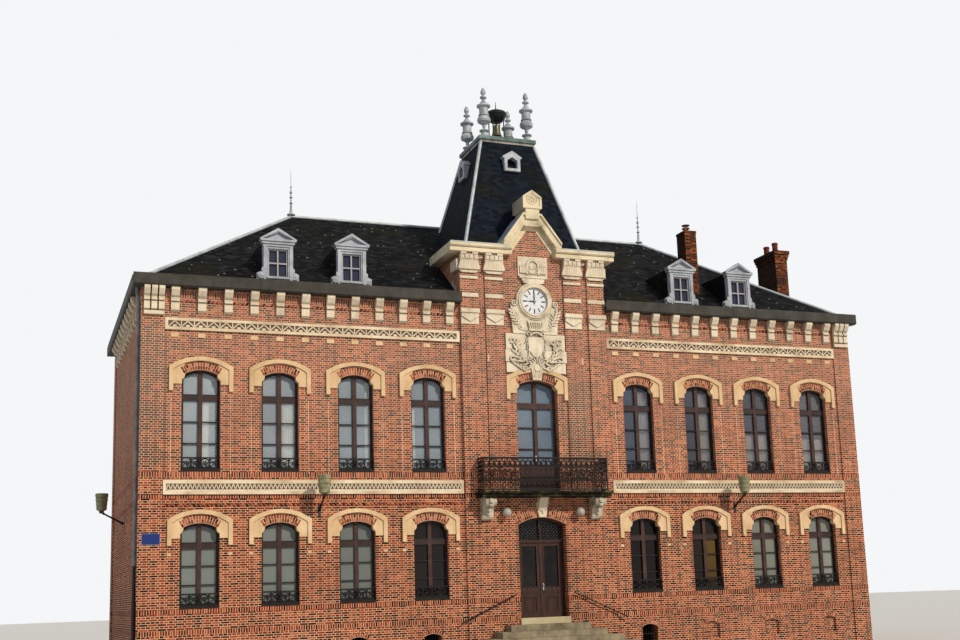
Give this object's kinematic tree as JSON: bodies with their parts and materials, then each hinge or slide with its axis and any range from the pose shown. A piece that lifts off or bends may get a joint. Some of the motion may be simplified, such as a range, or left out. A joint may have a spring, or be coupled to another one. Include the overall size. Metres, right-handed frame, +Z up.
{
  "type": "town hall building",
  "caption": "Two-storey brick town hall with stone dressings, a clock gable over a balcony and entrance steps, slate roofs with dormers and a steep bell-topped tower roof.",
  "frame": {"origin": "On the ground, at the middle of the block that the walls enclose.", "axes": "X to the right along the street front, Y from the front into the building, Z up."},
  "size_m": [26.7919, 13.51, 20.37],
  "materials": {
    "concrete": "rough cast floor",
    "brick": "rough red brick in lime mortar",
    "floor_timber": "bare boards",
    "dressed_stone": "smooth dressed limestone",
    "window_timber": "satin brown paint",
    "window_pane": "clear",
    "black_iron": "satin black paint",
    "grey_metal": "dull grey",
    "slate": "split slate, dull",
    "zinc": "dull weathered zinc",
    "pale_paint": "satin off-white paint",
    "chimney_brick": "rough orange brick",
    "terracotta": "unglazed clay",
    "dial_white": "satin enamel",
    "bell_bronze": "dull bronze",
    "door_timber": "satin brown varnish",
    "step_stone": "worn grey stone",
    "lamp_white": "milk-white globe"
  },
  "bodies": {
    "building": {"foundation_slab": "concrete", "front_walls": "brick", "door_piers": "brick", "pavilion_wall": "brick", "door_base_wall": "brick", "back_wall": "brick", "side_walls": "brick", "floors": "floor_timber", "stone_bands": "dressed_stone", "window_hoods": "dressed_stone", "small_stones": "dressed_stone", "window_sills": "dressed_stone", "ground_window_frames": "window_timber", "first_window_frames": "window_timber", "window_glass": "window_pane", "window_guards": "black_iron", "cornice_brackets": "dressed_stone", "front_back_gutters": "grey_metal", "side_gutters": "grey_metal", "main_roof_front": "slate", "main_roof_back": "slate", "main_roof_ends": "slate", "zinc_caps": "zinc", "roof_finials": "zinc", "dormer_fronts": "zinc", "dormer_roofs": "slate", "dormer_windows": "pale_paint", "chimneys": "chimney_brick", "chimney_pots": "terracotta", "pavilion_cornice": "dressed_stone", "pilaster_stones": "dressed_stone", "clock_surround": "dressed_stone", "clock_dial": "dial_white", "pavilion_cheeks": "brick", "tower_base": "slate", "tower_roof_front_back": "slate", "tower_roof_sides": "slate", "tower_platform": "grey_metal", "tower_dormers": "zinc", "bell_canopy": "grey_metal", "bell": "bell_bronze", "balcony_slab": "dressed_stone", "balcony_railing": "black_iron", "balcony_doors": "window_timber", "door_frame": "door_timber", "keystones": "dressed_stone", "entrance_steps": "step_stone", "threshold": "dressed_stone", "handrails": "black_iron", "door_lamps": "lamp_white", "wall_lamps": "grey_metal", "downpipes": "pale_paint", "vent_grilles": "black_iron"},
    "left_leaf": {"door_leaf_left": "door_timber", "left_leaf_glass": "window_pane"},
    "right_leaf": {"door_leaf_right": "door_timber", "right_leaf_glass": "window_pane"},
    "minute_hand": {"minute_hand": "black_iron"},
    "hour_hand": {"hour_hand": "black_iron"}
  },
  "joints": [
    {"name": "left_leaf_swing", "type": "hinge", "parent": "building", "child": "left_leaf", "pos_m": [-0.775, -5.164, 1.405], "axis": [0, 0, 1], "range_deg": [0, 90]},
    {"name": "right_leaf_swing", "type": "hinge", "parent": "building", "child": "right_leaf", "pos_m": [0.775, -5.164, 1.405], "axis": [0, 0, -1], "range_deg": [0, 90]},
    {"name": "minute_turn", "type": "hinge", "parent": "building", "child": "minute_hand", "pos_m": [0, -5.6, 11.93], "axis": [0, 1, 0], "continuous": true},
    {"name": "hour_turn", "type": "hinge", "parent": "building", "child": "hour_hand", "pos_m": [0, -5.6, 11.93], "axis": [0, 1, 0], "continuous": true}
  ],
  "couplings": [
    {"joint": "hour_turn", "follows": "minute_turn", "ratio": 0.083333}
  ]
}
